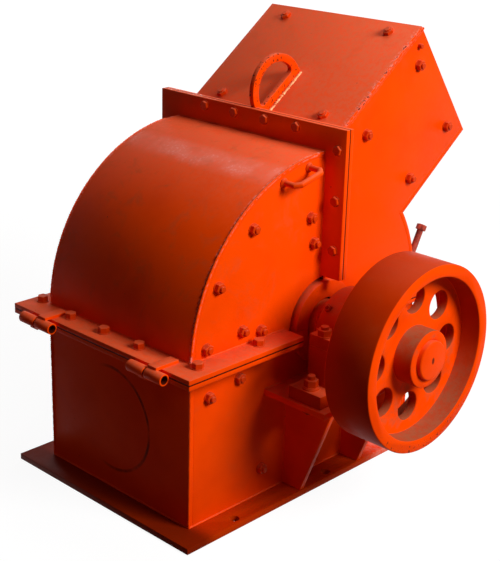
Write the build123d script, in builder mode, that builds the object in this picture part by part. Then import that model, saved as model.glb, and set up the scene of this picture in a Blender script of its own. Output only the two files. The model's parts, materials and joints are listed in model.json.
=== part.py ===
from build123d import *
import os
from math import atan2, cos, radians, sin, sqrt, tan

os.makedirs("parts", exist_ok=True)

# Frame: X along the rotor, +X is the flywheel side, -Y is the front with the
# hinged cover, +Z is up. The origin is on the floor, under the rotor axis and
# midway between the two sides. All sizes are millimetres.

# Casing of welded plate, split at the height of the rotor axis
plate = 10.0
casing_width = 400.0
split_z = 334.0
cover_radius = 340.0
rear_radius = 300.0
base_thick = 12.0
flange_bar = 50.0
top_lip = 48.0

# Foundation holes in the base flange
hole_edge = 17.0
hole_pitch = 263.0
hole_radius = 10.0

# Feed chute on the rear housing
chute_angle = 37.0
chute_mouth = 290.0
chute_reach = 265.0
chute_over = 206.0

# Shaft seal rings that stand in the side walls
seal_radius = 84.0
seal_bore = 50.0
seal_proud = 12.0
seal_gap = 6.0
bar_stop = 21.0
lip_stop = 12.0

# Rotor shaft, measured outwards from the side walls
shaft_radius = 45.0
journal_radius = 40.0
shaft_overhang = 271.0
shoulder = 25.0
running_gap = 0.05
drive_radius = 37.5
drive_length = 121.0
key_width = 20.0
key_depth = 7.5
key_length = 54.0

# Rotor discs, hammer pins and hammers
disc_radius = 130.0
disc_thick = 18.0
disc_count = 4
pin_circle_radius = 100.0
pin_radius = 13.0
row_count = 4
pin_end = 8.0
hammer_play = 0.4
hammer_side_gap = 12.0
hammer_width = 62.0
hammer_back = 28.0
rotor_side_gap = 32.0
shaft_chamfer = 2.0

# Flywheel
wheel_radius = 180.0
wheel_width = 100.0
wheel_setback = 6.0
wheel_seat_radius = 37.5
wheel_seat_gap = 4.0
rim_thick = 24.0
web_recess = 43.0
web_thick = 20.0
hub_radius = 55.0
hub_setback = 9.0
hub_length = 88.0
lightening_circle_radius = 107.0
lightening_radius = 28.0
lightening_count = 8

# Bearing brackets
bracket_top = 234.0
bracket_thick = 12.0
bracket_length = 150.0
bracket_half = 155.0
gusset_y = 88.0
gusset_thick = 12.0
gusset_head = 126.0
gusset_foot = 47.0

# Bearing blocks, split on the rotor axis
block_offset = 94.0
foot_width = 78.0
foot_half = 148.0
foot_thick = 26.0
boss_y = 130.0
boss_radius = 16.0
boss_rise = 4.0
barrel_radius = 84.0
barrel_width = 76.0
body_half = 110.0
ear_width = 54.0
ear_rise = 23.0

# Hinges
hinge_stand = 14.0
knuckle_radius = 11.0
hinge_bore = 7.0
hinge_inset = 43.0
knuckle_length = 43.0
knuckle_gap = 4.0
pin_inset = 12.0
strap_width = 22.0
strap_thick = 6.0
strap_length = 54.0

# Lifting lug
lug_start = 13.0
lug_width = 140.0
lug_height = 86.0
lug_band = 16.0
lug_corner = 9.0
lug_thick = 11.0

# Grate under the rotor
grate_gap = 18.0
grate_depth = 30.0
grate_bar = 18.0
grate_end_gap = 1.0
grate_count = 13
grate_pitch = 11.0
rail_thick = 14.0
rail_depth = 25.0
rail_wall_gap = 17.0
rail_drop = 60.0

# Wear plates inside the walls
wear_thick = 8.0
wear_edge = 12.0
wear_gap = 6.0
breaker_thick = 12.0
breaker_side_gap = 12.0
breaker_angle = 74.0
rear_breaker_angle = 26.0

# Bent rod handle on the cover
rod_radius = 5.5
handle_reach = 36.0
handle_inset = 20.0
handle_start = 110.5
handle_sweep = 12.5
handle_corner = 9.0

half_width = casing_width / 2
inner_half = half_width - plate
flange_half = half_width + flange_bar
cover_centre = -plate
cover_inner = cover_radius - plate
rear_inner = rear_radius - plate
front_y = cover_centre - cover_radius
base_front = front_y - flange_bar
base_rear = rear_radius + flange_bar
flange_top = split_z + cover_radius + top_lip
opening_top = split_z + cover_inner
bar_end = seal_radius + bar_stop
lip_bottom = split_z + seal_radius + lip_stop
wall_height = split_z - base_thick
side_plane = Plane.YZ


def below(width, line_z):
    """A cut that clears all of a sketch on the YZ plane above a height."""
    with Locations((0, line_z + width / 2)):
        Rectangle(2 * width, width, mode=Mode.SUBTRACT)


def above(width, line_z):
    """A cut that clears all of a sketch on the YZ plane below a height."""
    with Locations((0, line_z - width / 2)):
        Rectangle(2 * width, width, mode=Mode.SUBTRACT)


def behind(width, line_y):
    """A cut that clears all of a sketch on the YZ plane in front of a line."""
    with Locations((line_y - width / 2, split_z)):
        Rectangle(width, 2 * width, mode=Mode.SUBTRACT)


def before(width, line_y):
    """A cut that clears all of a sketch on the YZ plane behind a line."""
    with Locations((line_y + width / 2, split_z)):
        Rectangle(width, 2 * width, mode=Mode.SUBTRACT)


# Base flange, a plate open under the casing, with its foundation holes
with BuildPart() as base_flange:
    with BuildSketch(Plane.XY):
        with Locations((0, (base_front + base_rear) / 2)):
            Rectangle(2 * flange_half, base_rear - base_front)
        with Locations((0, (front_y + rear_radius) / 2)):
            Rectangle(2 * inner_half, rear_radius - front_y - 2 * plate, mode=Mode.SUBTRACT)
        with GridLocations(2 * (flange_half - hole_edge), hole_pitch, 2, 3):
            Circle(hole_radius, mode=Mode.SUBTRACT)
    extrude(amount=base_thick)
base_flange.part.label = "base_flange"

# Lower casing, four walls between the base flange and the split plane
with BuildPart() as lower_front_wall:
    with BuildSketch(Plane.XZ.offset(-front_y - plate)):
        with Locations((0, base_thick + wall_height / 2)):
            Rectangle(casing_width, wall_height)
    extrude(amount=plate)
lower_front_wall.part.label = "lower_front_wall"

with BuildPart() as lower_rear_wall:
    with BuildSketch(Plane.XZ.offset(-rear_radius)):
        with Locations((0, base_thick + wall_height / 2)):
            Rectangle(casing_width, wall_height)
    extrude(amount=plate)
lower_rear_wall.part.label = "lower_rear_wall"

lower_sides = []
for side, name in ((-1, "left_lower_side"), (1, "right_lower_side")):
    wall_face = inner_half if side > 0 else -half_width
    with BuildPart() as lower_side:
        with BuildSketch(side_plane.offset(wall_face)):
            with Locations(((front_y + rear_radius) / 2, base_thick + wall_height / 2)):
                Rectangle(rear_radius - front_y - 2 * plate, wall_height)
            with Locations((0, split_z)):
                Circle(seal_radius, mode=Mode.SUBTRACT)
        extrude(amount=plate)
    lower_side.part.label = name
    lower_sides.append(lower_side)

# Lower joint flange, a bar round the front and one round the rear
with BuildPart() as lower_joint_flange:
    with BuildSketch(Plane.XY.offset(split_z - plate)):
        with Locations((0, (base_front + base_rear) / 2)):
            Rectangle(2 * flange_half, base_rear - base_front)
        with Locations((0, (front_y + rear_radius) / 2)):
            Rectangle(casing_width, rear_radius - front_y, mode=Mode.SUBTRACT)
        Rectangle(2 * flange_half + plate, 2 * bar_end, mode=Mode.SUBTRACT)
    extrude(amount=plate)
lower_joint_flange.part.label = "lower_joint_flange"

# Brackets that carry the bearing blocks
with BuildPart() as bracket_plates:
    with BuildSketch(Plane.XY.offset(bracket_top - bracket_thick)):
        for side in (-1, 1):
            with Locations((side * (half_width + bracket_length / 2), 0)):
                Rectangle(bracket_length, 2 * bracket_half)
    extrude(amount=bracket_thick)
bracket_plates.part.label = "bracket_plates"

gusset_top = bracket_top - bracket_thick
with BuildPart() as bracket_gussets:
    for side in (-1, 1):
        for gusset_mid in (-gusset_y, gusset_y):
            with BuildSketch(Plane.XZ.offset(-gusset_mid - gusset_thick / 2)):
                with BuildLine():
                    Polyline(
                        (side * half_width, base_thick),
                        (side * (half_width + gusset_foot), base_thick),
                        (side * (half_width + gusset_head), gusset_top),
                        (side * half_width, gusset_top),
                        close=True,
                    )
                make_face()
            extrude(amount=gusset_thick)
bracket_gussets.part.label = "bracket_gussets"

# Bearing blocks: a cast foot and saddle below the axis, a cap above it
bearing_bases = []
bearing_caps = []
for side, name in ((-1, "left"), (1, "right")):
    block_x = side * (half_width + block_offset)
    with BuildPart() as bearing_base:
        with BuildSketch(Plane.XY.offset(bracket_top)):
            with Locations((block_x, 0)):
                Rectangle(foot_width, 2 * foot_half)
        extrude(amount=foot_thick)
        with BuildSketch(Plane.XY.offset(bracket_top)):
            with Locations((block_x, boss_y), (block_x, -boss_y)):
                Circle(boss_radius)
        extrude(amount=foot_thick + boss_rise)
        with BuildSketch(side_plane.offset(block_x - ear_width / 2)):
            with Locations((0, (bracket_top + split_z) / 2)):
                Rectangle(2 * body_half, split_z - bracket_top)
        extrude(amount=ear_width)
        with BuildSketch(side_plane.offset(block_x - barrel_width / 2)):
            with Locations((0, split_z)):
                Circle(barrel_radius)
            below(4 * barrel_radius, split_z)
            above(4 * barrel_radius, bracket_top + foot_thick)
        extrude(amount=barrel_width)
        with BuildSketch(side_plane.offset(block_x - foot_width / 2)):
            with Locations((0, split_z)):
                Circle(journal_radius + running_gap)
        extrude(amount=foot_width, mode=Mode.SUBTRACT)
    bearing_base.part.label = name + "_bearing_base"
    bearing_bases.append(bearing_base)
    with BuildPart() as bearing_cap:
        with BuildSketch(side_plane.offset(block_x - barrel_width / 2)):
            with Locations((0, split_z)):
                Circle(barrel_radius)
            above(4 * barrel_radius, split_z)
        extrude(amount=barrel_width)
        with BuildSketch(side_plane.offset(block_x - ear_width / 2)):
            with Locations((0, split_z + ear_rise / 2)):
                Rectangle(2 * body_half, ear_rise)
        extrude(amount=ear_width)
        with BuildSketch(side_plane.offset(block_x - foot_width / 2)):
            with Locations((0, split_z)):
                Circle(journal_radius + running_gap)
        extrude(amount=foot_width, mode=Mode.SUBTRACT)
    bearing_cap.part.label = name + "_bearing_cap"
    bearing_caps.append(bearing_cap)

# Seal rings round the shaft, halved on the rotor axis
seal_halves = []
for upper, name in ((False, "seal_lower_halves"), (True, "seal_upper_halves")):
    with BuildPart() as seal_half:
        for side in (-1, 1):
            seal_face = inner_half if side > 0 else -half_width - seal_proud
            with BuildSketch(side_plane.offset(seal_face)):
                with Locations((0, split_z)):
                    Circle(seal_radius)
                    Circle(seal_bore, mode=Mode.SUBTRACT)
                if upper:
                    above(4 * seal_radius, split_z)
                else:
                    below(4 * seal_radius, split_z)
            extrude(amount=plate + seal_proud)
    seal_half.part.label = name
    seal_halves.append(seal_half)

# Rear housing: the corners of its side view
slope = radians(chute_angle)
along = Vector(0, cos(slope), sin(slope))
across = Vector(0, -sin(slope), cos(slope))
axis_point = Vector(0, 0, split_z)
chute_top = Vector(0, chute_reach, split_z + cover_radius + chute_over)
chute_top_in = chute_top - across * plate
chute_low = chute_top - across * chute_mouth
chute_low_in = chute_low + across * plate
start_z = chute_top.Z - (chute_reach - plate) * tan(slope)
start_in_z = start_z - plate / cos(slope)
from_axis = chute_low - axis_point
under_run = along.dot(from_axis)
under_run -= sqrt(under_run**2 - from_axis.dot(from_axis) + rear_radius**2)
under_corner = chute_low - along * under_run
from_axis_in = chute_low_in - axis_point
under_run_in = along.dot(from_axis_in)
under_run_in -= sqrt(under_run_in**2 - from_axis_in.dot(from_axis_in) + rear_inner**2)
under_corner_in = chute_low_in - along * under_run_in
half_arc = atan2(under_corner.Z - split_z, under_corner.Y) / 2
half_arc_in = atan2(under_corner_in.Z - split_z, under_corner_in.Y) / 2
arc_point_in = (rear_inner * cos(half_arc_in), split_z + rear_inner * sin(half_arc_in))

with BuildPart() as chute_top_plate:
    with BuildSketch(side_plane.offset(-half_width)):
        with BuildLine():
            Polyline(
                (plate, start_z),
                (chute_top.Y, chute_top.Z),
                (chute_top_in.Y, chute_top_in.Z),
                (plate, start_in_z),
                close=True,
            )
        make_face()
    extrude(amount=casing_width)
chute_top_plate.part.label = "chute_top_plate"

with BuildPart() as chute_bottom_plate:
    with BuildSketch(side_plane.offset(-half_width)):
        with BuildLine():
            Polyline(
                (chute_low.Y, chute_low.Z),
                (under_corner.Y, under_corner.Z),
                (under_corner_in.Y, under_corner_in.Z),
                (chute_low_in.Y, chute_low_in.Z),
                close=True,
            )
        make_face()
    extrude(amount=casing_width)
chute_bottom_plate.part.label = "chute_bottom_plate"

with BuildPart() as rear_wall:
    with BuildSketch(side_plane.offset(-half_width)):
        with BuildLine():
            ThreePointArc(
                (rear_radius, split_z),
                (rear_radius * cos(half_arc), split_z + rear_radius * sin(half_arc)),
                (under_corner.Y, under_corner.Z),
            )
            Line((under_corner.Y, under_corner.Z), (under_corner_in.Y, under_corner_in.Z))
            ThreePointArc(
                (under_corner_in.Y, under_corner_in.Z),
                arc_point_in,
                (rear_inner, split_z),
            )
            Line((rear_inner, split_z), (rear_radius, split_z))
        make_face()
    extrude(amount=casing_width)
rear_wall.part.label = "rear_wall"

chute_sides = []
for side, name in ((-1, "left_chute_side"), (1, "right_chute_side")):
    wall_face = inner_half if side > 0 else -half_width
    with BuildPart() as chute_side:
        with BuildSketch(side_plane.offset(wall_face)):
            with BuildLine():
                Polyline(
                    (rear_inner, split_z),
                    (plate, split_z),
                    (plate, start_in_z),
                    (chute_top_in.Y, chute_top_in.Z),
                    (chute_low_in.Y, chute_low_in.Z),
                    (under_corner_in.Y, under_corner_in.Z),
                )
                ThreePointArc(
                    (under_corner_in.Y, under_corner_in.Z),
                    arc_point_in,
                    (rear_inner, split_z),
                )
            make_face()
            with Locations((0, split_z)):
                Circle(seal_radius, mode=Mode.SUBTRACT)
        extrude(amount=plate)
    chute_side.part.label = name
    chute_sides.append(chute_side)

# Standing flanges of the rear housing and of the cover, bolted face to face
standing_flanges = []
for face_y, ring_gap, name in (
    (plate, 0.0, "rear_standing_flange"),
    (0.0, seal_gap, "cover_standing_flange"),
):
    with BuildPart() as standing_flange:
        with BuildSketch(Plane.XZ.offset(-face_y)):
            with Locations((0, (split_z + flange_top) / 2)):
                Rectangle(2 * flange_half, flange_top - split_z)
            with Locations((0, (split_z + opening_top) / 2)):
                Rectangle(2 * inner_half, opening_top - split_z, mode=Mode.SUBTRACT)
            for side in (-1, 1):
                with Locations((side * (half_width + flange_bar / 2), (split_z + lip_bottom) / 2)):
                    Rectangle(flange_bar, lip_bottom - split_z, mode=Mode.SUBTRACT)
        extrude(amount=plate)
        with BuildSketch(side_plane.offset(-flange_half)):
            with Locations((0, split_z)):
                Circle(seal_radius + ring_gap)
        extrude(amount=2 * flange_half, mode=Mode.SUBTRACT)
    standing_flange.part.label = name
    standing_flanges.append(standing_flange)

with BuildPart() as rear_joint_flange:
    with BuildSketch(Plane.XY.offset(split_z)):
        with Locations((0, (bar_end + base_rear) / 2)):
            Rectangle(2 * flange_half, base_rear - bar_end)
    extrude(amount=plate)
    with BuildSketch(side_plane.offset(-half_width)):
        with Locations((0, split_z)):
            Circle(rear_radius)
    extrude(amount=casing_width, mode=Mode.SUBTRACT)
rear_joint_flange.part.label = "rear_joint_flange"

# Lifting lug, an open D of plate that stands on the chute top
lug_foot = Vector(0, plate, start_z) + along * (lug_start + lug_width / 2)
lug_plane = Plane(origin=lug_foot, x_dir=along, z_dir=(1, 0, 0))
lug_bend = lug_width / 2
lug_leg = lug_height - lug_bend
with BuildPart() as lifting_lug:
    with BuildSketch(lug_plane.offset(-lug_thick / 2)):
        with Locations((0, lug_leg)):
            Circle(lug_bend)
        with Locations((0, lug_leg / 2)):
            Rectangle(lug_width, lug_leg)
        above(2 * lug_width, 0)
    extrude(amount=lug_thick)
    with BuildSketch(lug_plane.offset(-lug_thick / 2)):
        with Locations((0, lug_leg)):
            Circle(lug_bend - lug_band)
        above(2 * lug_width, lug_band)
        fillet(vertices(), lug_corner)
    extrude(amount=lug_thick, mode=Mode.SUBTRACT)
    with BuildSketch(side_plane.offset(-lug_thick / 2)):
        with Locations((0, flange_top / 2)):
            Rectangle(2 * plate, flange_top)
    extrude(amount=lug_thick, mode=Mode.SUBTRACT)
lifting_lug.part.label = "lifting_lug"

# Hinged cover, a quarter drum
with BuildPart() as cover_curved_plate:
    with BuildSketch(side_plane.offset(-half_width)):
        with Locations((cover_centre, split_z)):
            Circle(cover_radius)
            Circle(cover_inner, mode=Mode.SUBTRACT)
        above(4 * cover_radius, split_z)
        before(4 * cover_radius, cover_centre)
    extrude(amount=casing_width)
cover_curved_plate.part.label = "cover_curved_plate"

cover_sides = []
for side, name in ((-1, "left_cover_side"), (1, "right_cover_side")):
    wall_face = inner_half if side > 0 else -half_width
    with BuildPart() as cover_side:
        with BuildSketch(side_plane.offset(wall_face)):
            with Locations((cover_centre, split_z)):
                Circle(cover_inner)
            above(4 * cover_radius, split_z)
            before(4 * cover_radius, cover_centre)
            with Locations((0, split_z)):
                Circle(seal_radius + seal_gap, mode=Mode.SUBTRACT)
        extrude(amount=plate)
    cover_side.part.label = name
    cover_sides.append(cover_side)

with BuildPart() as cover_joint_flange:
    with BuildSketch(Plane.XY.offset(split_z)):
        with Locations((0, (base_front - bar_end) / 2)):
            Rectangle(2 * flange_half, -bar_end - base_front)
    extrude(amount=plate)
    with BuildSketch(side_plane.offset(-half_width)):
        with Locations((cover_centre, split_z)):
            Circle(cover_radius)
    extrude(amount=casing_width, mode=Mode.SUBTRACT)
cover_joint_flange.part.label = "cover_joint_flange"

# Hinges, one knuckle on each flange and a pin through the pair
hinge_y = base_front - hinge_stand
hinge_x = half_width - hinge_inset
fixed_shift = -(knuckle_length + knuckle_gap) / 2
hinge_leaves = []
for shift, strap_z, inward, name in (
    (fixed_shift, split_z - plate - strap_thick / 2, 1, "hinge_lower_leaves"),
    (-fixed_shift, split_z + plate + strap_thick / 2, -1, "hinge_upper_leaves"),
):
    with BuildPart() as hinge_leaf:
        for side in (-1, 1):
            knuckle_x = side * hinge_x + shift
            strap_x = knuckle_x + inward * (knuckle_length - strap_width) / 2
            with BuildSketch(side_plane.offset(knuckle_x - knuckle_length / 2)):
                with Locations((hinge_y, split_z)):
                    Circle(knuckle_radius)
            extrude(amount=knuckle_length)
            with BuildSketch(side_plane.offset(strap_x - strap_width / 2)):
                with Locations((hinge_y + strap_length / 2, strap_z)):
                    Rectangle(strap_length, strap_thick)
            extrude(amount=strap_width)
            with BuildSketch(side_plane.offset(knuckle_x - knuckle_length / 2)):
                with Locations((hinge_y, split_z)):
                    Circle(hinge_bore)
            extrude(amount=knuckle_length, mode=Mode.SUBTRACT)
    hinge_leaf.part.label = name
    hinge_leaves.append(hinge_leaf)

hinge_pin_length = 2 * knuckle_length + knuckle_gap - 2 * pin_inset
with BuildPart() as hinge_pins:
    for side in (-1, 1):
        with BuildSketch(side_plane.offset(side * hinge_x - hinge_pin_length / 2)):
            with Locations((hinge_y, split_z)):
                Circle(hinge_bore - running_gap)
        extrude(amount=hinge_pin_length)
hinge_pins.part.label = "hinge_pins"

# Bent rod handle on the right side of the cover
handle_circle = cover_radius - handle_inset
handle_ends = []
for turn in (radians(handle_start), radians(handle_start - handle_sweep)):
    handle_ends.append((cover_centre + handle_circle * cos(turn), split_z + handle_circle * sin(turn)))
low_foot = Vector(half_width, *handle_ends[0])
high_foot = Vector(half_width, *handle_ends[1])
handle_out = Vector(handle_reach, 0, 0)
handle_bend = Vector(handle_corner, 0, 0)
handle_step = (high_foot - low_foot).normalized() * handle_corner
with BuildPart() as cover_handle:
    with BuildLine() as handle_path:
        Polyline(
            low_foot,
            low_foot + handle_out - handle_bend,
            low_foot + handle_out + handle_step,
            high_foot + handle_out - handle_step,
            high_foot + handle_out - handle_bend,
            high_foot,
        )
    with BuildSketch(Plane(origin=low_foot, z_dir=(1, 0, 0))):
        Circle(rod_radius)
    sweep(path=handle_path.line, transition=Transition.RIGHT)
cover_handle.part.label = "cover_handle"

# Grate: bars that lie on two curved rails welded to the side walls
rail_outer = rear_inner - rail_wall_gap
rail_inner = rail_outer - rail_depth
grate_inner = rail_inner - grate_depth
with BuildPart() as grate_rails:
    for side in (-1, 1):
        rail_face = inner_half - rail_thick if side > 0 else -inner_half
        with BuildSketch(side_plane.offset(rail_face)):
            with Locations((0, split_z)):
                Circle(rail_outer)
                Circle(rail_inner, mode=Mode.SUBTRACT)
            below(4 * rail_outer, split_z - rail_drop)
        extrude(amount=rail_thick)
grate_rails.part.label = "grate_rails"

bar_seat = sqrt(rail_inner**2 - (grate_bar / 2) ** 2)
with BuildPart() as grate_bars:
    for bar in range(grate_count):
        turn = radians(270.0 + (bar - (grate_count - 1) / 2) * grate_pitch)
        bar_plane = Plane(
            origin=(0, bar_seat * cos(turn), split_z + bar_seat * sin(turn)),
            x_dir=(1, 0, 0),
            z_dir=(0, -cos(turn), -sin(turn)),
        )
        with BuildSketch(bar_plane):
            Rectangle(2 * (inner_half - grate_end_gap), grate_bar)
        extrude(amount=grate_depth)
grate_bars.part.label = "grate_bars"

# Wear plates inside the side walls, cut clear of the shaft
wear_bore = seal_radius + wear_edge
with BuildPart() as lower_wear_plates:
    for wear_face in (inner_half - wear_thick, -inner_half):
        with BuildSketch(side_plane.offset(wear_face)):
            with Locations((0, split_z)):
                Circle(grate_inner - wear_gap)
                Circle(wear_bore, mode=Mode.SUBTRACT)
            below(4 * grate_inner, split_z)
        extrude(amount=wear_thick)
lower_wear_plates.part.label = "lower_wear_plates"

with BuildPart() as cover_wear_plates:
    for wear_face in (inner_half - wear_thick, -inner_half):
        with BuildSketch(side_plane.offset(wear_face)):
            with Locations((cover_centre, split_z)):
                Circle(cover_inner - breaker_thick)
            with Locations((0, split_z)):
                Circle(wear_bore, mode=Mode.SUBTRACT)
            above(4 * cover_radius, split_z + wear_gap)
            before(4 * cover_radius, cover_centre)
        extrude(amount=wear_thick)
cover_wear_plates.part.label = "cover_wear_plates"

with BuildPart() as rear_wear_plates:
    for wear_face in (inner_half - wear_thick, -inner_half):
        with BuildSketch(side_plane.offset(wear_face)):
            with Locations((0, split_z)):
                Circle(rear_inner - breaker_thick)
                Circle(wear_bore, mode=Mode.SUBTRACT)
            above(4 * rear_radius, split_z + wear_gap)
            behind(4 * rear_radius, plate)
        extrude(amount=wear_thick)
rear_wear_plates.part.label = "rear_wear_plates"

# Curved breaker plates that the hammers throw the stone against
breaker_half = inner_half - breaker_side_gap
breakers = []
for centre_y, outer, start, sweep_angle, name in (
    (cover_centre, cover_inner, 180.0 - (90.0 + breaker_angle) / 2, breaker_angle, "cover_breaker"),
    (0.0, rear_inner, rear_breaker_angle / 8, rear_breaker_angle, "rear_breaker"),
):
    first = radians(start)
    last = radians(start + sweep_angle)
    middle = (first + last) / 2
    with BuildPart() as breaker:
        with BuildSketch(side_plane.offset(-breaker_half)):
            with BuildLine():
                rows = []
                for reach in (outer, outer - breaker_thick):
                    row = []
                    for turn in (first, middle, last):
                        row.append((centre_y + reach * cos(turn), split_z + reach * sin(turn)))
                    rows.append(row)
                ThreePointArc(*rows[0])
                ThreePointArc(*rows[1])
                Line(rows[0][0], rows[1][0])
                Line(rows[0][2], rows[1][2])
            make_face()
        extrude(amount=2 * breaker_half)
    breaker.part.label = name
    breakers.append(breaker)

# Rotor: stepped shaft with a keyed drive end, discs, pins and hammers
shaft_end = half_width + shaft_overhang
hub_front = shaft_end - hub_setback
hub_back = hub_front - hub_length
with BuildPart() as shaft:
    with BuildSketch(side_plane.offset(drive_length - shaft_end)):
        with Locations((0, split_z)):
            Circle(journal_radius)
    extrude(amount=hub_back - wheel_seat_gap + shaft_end - drive_length)
    with BuildSketch(side_plane):
        with Locations((0, split_z)):
            Circle(wheel_seat_radius)
    extrude(amount=shaft_end)
    with BuildSketch(side_plane.offset(-half_width - shoulder)):
        with Locations((0, split_z)):
            Circle(shaft_radius)
    extrude(amount=casing_width + 2 * shoulder)
    with BuildSketch(side_plane.offset(-shaft_end)):
        with Locations((0, split_z)):
            Circle(drive_radius)
    extrude(amount=drive_length)
    with BuildSketch(Plane.XY.offset(split_z + drive_radius - key_depth)):
        with Locations((key_length / 2 - shaft_end, 0)):
            Rectangle(key_length, key_width)
    extrude(amount=2 * key_depth, mode=Mode.SUBTRACT)
    chamfer(shaft.edges().group_by(Axis.X)[-1], shaft_chamfer)
shaft.part.label = "shaft"

rotor_half = inner_half - wear_thick - rotor_side_gap
disc_pitch = (2 * rotor_half - disc_thick) / (disc_count - 1)
disc_space = disc_pitch - disc_thick
first_disc = disc_thick / 2 - rotor_half
with BuildPart() as rotor_discs:
    for disc in range(disc_count):
        with BuildSketch(side_plane.offset(first_disc + disc * disc_pitch - disc_thick / 2)):
            with Locations((0, split_z)):
                Circle(disc_radius)
                Circle(shaft_radius, mode=Mode.SUBTRACT)
                with PolarLocations(pin_circle_radius, row_count):
                    Circle(pin_radius, mode=Mode.SUBTRACT)
        extrude(amount=disc_thick)
rotor_discs.part.label = "rotor_discs"

pin_half = rotor_half + pin_end
with BuildPart() as hammer_pins:
    with BuildSketch(side_plane.offset(-pin_half)):
        with Locations((0, split_z)):
            with PolarLocations(pin_circle_radius, row_count):
                Circle(pin_radius)
    extrude(amount=2 * pin_half)
hammer_pins.part.label = "hammer_pins"

hammer_thick = disc_space - 2 * hammer_side_gap
hammer_tip = grate_inner - grate_gap
hammer_length = hammer_tip - pin_circle_radius + hammer_back
with BuildPart() as hammers:
    for gap in range(disc_count - 1):
        gap_start = first_disc + gap * disc_pitch + disc_thick / 2
        with BuildSketch(side_plane.offset(gap_start + hammer_side_gap)):
            with Locations((0, split_z)):
                with PolarLocations(hammer_tip - hammer_length / 2, row_count):
                    Rectangle(hammer_length, hammer_width)
                with PolarLocations(pin_circle_radius, row_count):
                    Circle(pin_radius + hammer_play, mode=Mode.SUBTRACT)
        extrude(amount=hammer_thick)
hammers.part.label = "hammers"

# Flywheel: one casting with a deep rim, a web with round holes and a hub
wheel_front = shaft_end - wheel_setback
wheel_back = wheel_front - wheel_width
web_front = wheel_front - web_recess
web_back = web_front - web_thick
bore_z = split_z + wheel_seat_radius
hub_z = split_z + hub_radius
rim_z = split_z + wheel_radius - rim_thick
with BuildPart() as flywheel:
    with BuildSketch(Plane.XZ):
        with BuildLine():
            Polyline(
                (hub_back, bore_z),
                (hub_front, bore_z),
                (hub_front, hub_z),
                (web_front, hub_z),
                (web_front, rim_z),
                (wheel_front, rim_z),
                (wheel_front, split_z + wheel_radius),
                (wheel_back, split_z + wheel_radius),
                (wheel_back, rim_z),
                (web_back, rim_z),
                (web_back, hub_z),
                (hub_back, hub_z),
                close=True,
            )
        make_face()
    revolve(axis=Axis((0, 0, split_z), (1, 0, 0)))
    with BuildSketch(side_plane.offset(web_back)):
        with Locations((0, split_z)):
            with PolarLocations(lightening_circle_radius, lightening_count):
                Circle(lightening_radius)
    extrude(amount=web_thick, mode=Mode.SUBTRACT)
flywheel.part.label = "flywheel"

pieces = [
    base_flange,
    lower_front_wall,
    lower_rear_wall,
    *lower_sides,
    lower_joint_flange,
    bracket_plates,
    bracket_gussets,
    *bearing_bases,
    *bearing_caps,
    *seal_halves,
    chute_top_plate,
    chute_bottom_plate,
    rear_wall,
    *chute_sides,
    *standing_flanges,
    rear_joint_flange,
    lifting_lug,
    cover_curved_plate,
    *cover_sides,
    cover_joint_flange,
    *hinge_leaves,
    hinge_pins,
    cover_handle,
    grate_rails,
    grate_bars,
    lower_wear_plates,
    cover_wear_plates,
    rear_wear_plates,
    *breakers,
    shaft,
    rotor_discs,
    hammer_pins,
    hammers,
    flywheel,
]
for piece in pieces:
    export_step(piece.part, "parts/" + piece.part.label + ".step")
    print(piece.part.label, len(piece.part.solids()), round(piece.part.volume / 1000), "cm3")
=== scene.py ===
"""Hammer crusher: paint, welds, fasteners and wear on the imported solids."""

import json
import math
import random

import bmesh
import bpy
from mathutils import Matrix, Vector

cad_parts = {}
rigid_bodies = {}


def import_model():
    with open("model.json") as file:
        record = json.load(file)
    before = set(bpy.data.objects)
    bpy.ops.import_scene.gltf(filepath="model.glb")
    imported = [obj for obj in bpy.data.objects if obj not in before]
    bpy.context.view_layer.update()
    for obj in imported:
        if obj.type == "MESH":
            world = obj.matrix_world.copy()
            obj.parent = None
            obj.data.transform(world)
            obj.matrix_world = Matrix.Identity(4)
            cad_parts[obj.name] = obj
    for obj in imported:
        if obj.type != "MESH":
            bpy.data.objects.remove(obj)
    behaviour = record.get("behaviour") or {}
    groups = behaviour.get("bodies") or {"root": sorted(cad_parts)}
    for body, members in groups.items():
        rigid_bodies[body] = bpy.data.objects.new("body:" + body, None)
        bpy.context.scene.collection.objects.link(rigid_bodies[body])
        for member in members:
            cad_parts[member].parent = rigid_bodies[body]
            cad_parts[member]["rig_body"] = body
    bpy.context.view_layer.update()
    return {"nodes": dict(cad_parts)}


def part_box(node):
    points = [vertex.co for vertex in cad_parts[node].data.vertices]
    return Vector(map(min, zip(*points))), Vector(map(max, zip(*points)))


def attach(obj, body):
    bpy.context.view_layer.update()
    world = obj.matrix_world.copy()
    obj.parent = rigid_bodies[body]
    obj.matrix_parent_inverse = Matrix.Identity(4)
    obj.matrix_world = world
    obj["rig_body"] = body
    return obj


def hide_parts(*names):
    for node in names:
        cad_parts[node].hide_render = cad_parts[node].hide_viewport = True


bl_info = {
    "name": "Hammer Crusher Finish",
    "version": (1, 0, 0),
    "blender": (4, 5, 0),
    "location": "View3D > Sidebar > Crusher",
    "description": "Paint, weld beads, nuts and wear for a hinged-cover hammer crusher",
    "category": "Object",
}

MM = 0.001
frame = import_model()
NODES = frame["nodes"]

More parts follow.
